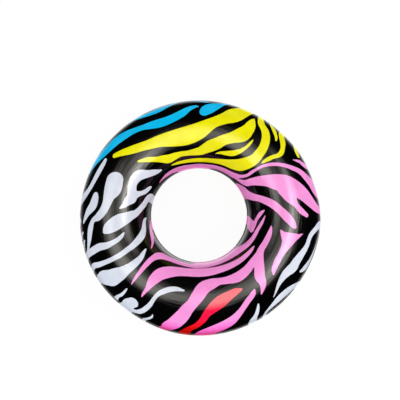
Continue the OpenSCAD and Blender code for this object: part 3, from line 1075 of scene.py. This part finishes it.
# The room is white to the eye, and its pale walls light the sides of the ring, most of all the low ones.
# In the film's gloss it is dark but for a soft-edged white panel below and behind the ring. The panel's
# place and size are measured one unit further down, and a direction near the level counts as sloping.
fill_low = 2.1
fill_high = 0.1
fill_rise = (0.05, 0.75)
fill_colour = (0.97, 1.0, 1.04, 1.0)
plain_white = (1.0, 1.0, 1.0, 1.0)
panel_glow = 1.35
panel_back = 0.75
panel_half_w = 1.6
panel_half_d = 1.3
gloss_dark = 0.006
least_slope = 0.02
world = bpy.data.worlds.new("room")
bpy.context.scene.world = world
world.use_nodes = True
tree = world.node_tree
tree.nodes.clear()
path = add_node(tree, "ShaderNodeLightPath").outputs
direction = add_node(tree, "ShaderNodeTexCoord").outputs["Generated"]
upward = add_node(tree, "ShaderNodeSeparateXYZ", {"Vector": direction}).outputs["Z"]
drop = calculated(tree, "MAXIMUM", calculated(tree, "MULTIPLY", upward, -1.0), least_slope)
stretch = calculated(tree, "DIVIDE", 1.0, drop)
landing = vector_step(tree, "SCALE", {0: direction, "Scale": stretch})
panel_scale = (1 / panel_half_w, 1 / panel_half_d, 0.0)
panel_shift = (0.0, -panel_back / panel_half_d, 0.0)
on_panel = vector_step(tree, "MULTIPLY_ADD", {0: landing, 1: panel_scale, 2: panel_shift})
off_middle = vector_step(tree, "LENGTH", {0: on_panel}, "Value")
panel = ranged(tree, off_middle, (0.0, 1.0), (panel_glow, gloss_dark), interpolation_type="SMOOTHSTEP")
gloss = calculated(tree, "MULTIPLY", path["Is Glossy Ray"], panel)
looked_at = calculated(tree, "MAXIMUM", path["Is Camera Ray"], path["Is Transmission Ray"])
shown = calculated(tree, "MAXIMUM", looked_at, gloss)
fill = ranged(tree, upward, fill_rise, (fill_low, fill_high))
strength = calculated(tree, "MULTIPLY_ADD", path["Is Diffuse Ray"], fill, shown)
tints = {"Factor": path["Is Diffuse Ray"], "A": plain_white, "B": fill_colour}
tint = add_node(tree, "ShaderNodeMix", tints, data_type="RGBA").outputs[2]
sky = add_node(tree, "ShaderNodeBackground", {"Color": tint, "Strength": strength})
add_node(tree, "ShaderNodeOutputWorld", {"Surface": sky.outputs["Background"]})

# The lamps for the gloss hang a little nearer, because a ray stops at the first lamp of two in one place.
ring_centre = Vector((0, 0, seam_z))
colour_distance = 4.2
gloss_distance = 4.1
even_middle = 0.3
warm_white = (1.0, 0.965, 0.89)


def soft_light(name, tilt_right, tilt_back, half_width, half_length, on_colour, in_gloss):
    """A far soft light, by its angles off straight up and its angular size in degrees; it fades to its edge.

    The colours and the gloss each have a lamp, so that bright highlights don't wash out the print.
    """
    tilts = [math.tan(math.radians(tilt)) for tilt in (tilt_right, tilt_back)]
    lean = Vector((*tilts, 1)).normalized()
    back = lean.cross(Vector((1, 0, 0))).normalized()
    lamps = [("colour", colour_distance, on_colour), ("gloss", gloss_distance, in_gloss)]
    for use, distance, brightness in lamps:
        if not brightness:
            continue
        lamp = bpy.data.lights.new(f"{name}_{use}", "AREA")
        lamp.shape = "RECTANGLE"
        lamp.size = 2 * distance * math.tan(math.radians(half_width))
        lamp.size_y = 2 * distance * math.tan(math.radians(half_length))
        lamp.energy = brightness * math.pi * lamp.size * lamp.size_y
        lamp.color = warm_white
        lamp.use_nodes = True
        tree = lamp.node_tree
        spot = add_node(tree, "ShaderNodeNewGeometry").outputs["Parametric"]
        centred = vector_step(tree, "SUBTRACT", {0: spot, 1: (0.5, 0.5, 0.0)})
        doubled = vector_step(tree, "MULTIPLY", {0: centred, 1: (2.0, 2.0, 0.0)})
        reach = vector_step(tree, "LENGTH", {0: doubled}, "Value")
        fade = ranged(tree, reach, (even_middle, 1.0), (1.0, 0.0), interpolation_type="SMOOTHSTEP")
        feed(tree, tree.nodes["Emission"], {"Strength": fade})
        light = bpy.data.objects.new(lamp.name, lamp)
        light.location = ring_centre + distance * lean
        light.rotation_euler = Matrix((back.cross(lean), back, lean)).transposed().to_euler()
        light.visible_diffuse = use == "colour"
        light.visible_glossy = use == "gloss"
        bpy.context.scene.collection.objects.link(light)


soft_light("left_softbox", -21, -4, 21, 30, 1.45, 4.7)
soft_light("right_softbox", 31, 0, 21, 36, 1.9, 5.6)
soft_light("right_strip", 29, 2, 6, 22, 2.4, 8.0)
soft_light("middle_softbox", 7, -12, 22, 34, 0.85, 2.7)
soft_light("front_fill", 0, -50, 30, 20, 1.4, 0.0)

# Seen from the front, almost straight down.
camera_distance = 1.974
camera_elevation = math.radians(79.3)
camera = bpy.data.objects.new("camera", bpy.data.cameras.new("camera"))
camera.data.lens = 54.86
camera.data.sensor_width = 36.0
camera.data.shift_x = 0.0025
camera.data.shift_y = 0.036
back = Vector((0, -math.cos(camera_elevation), math.sin(camera_elevation)))
camera.location = ring_centre + camera_distance * back
camera.rotation_euler = (math.pi / 2 - camera_elevation, 0, 0)
bpy.context.scene.collection.objects.link(camera)
bpy.context.scene.camera = camera
bpy.context.scene.view_settings.view_transform = "Standard"
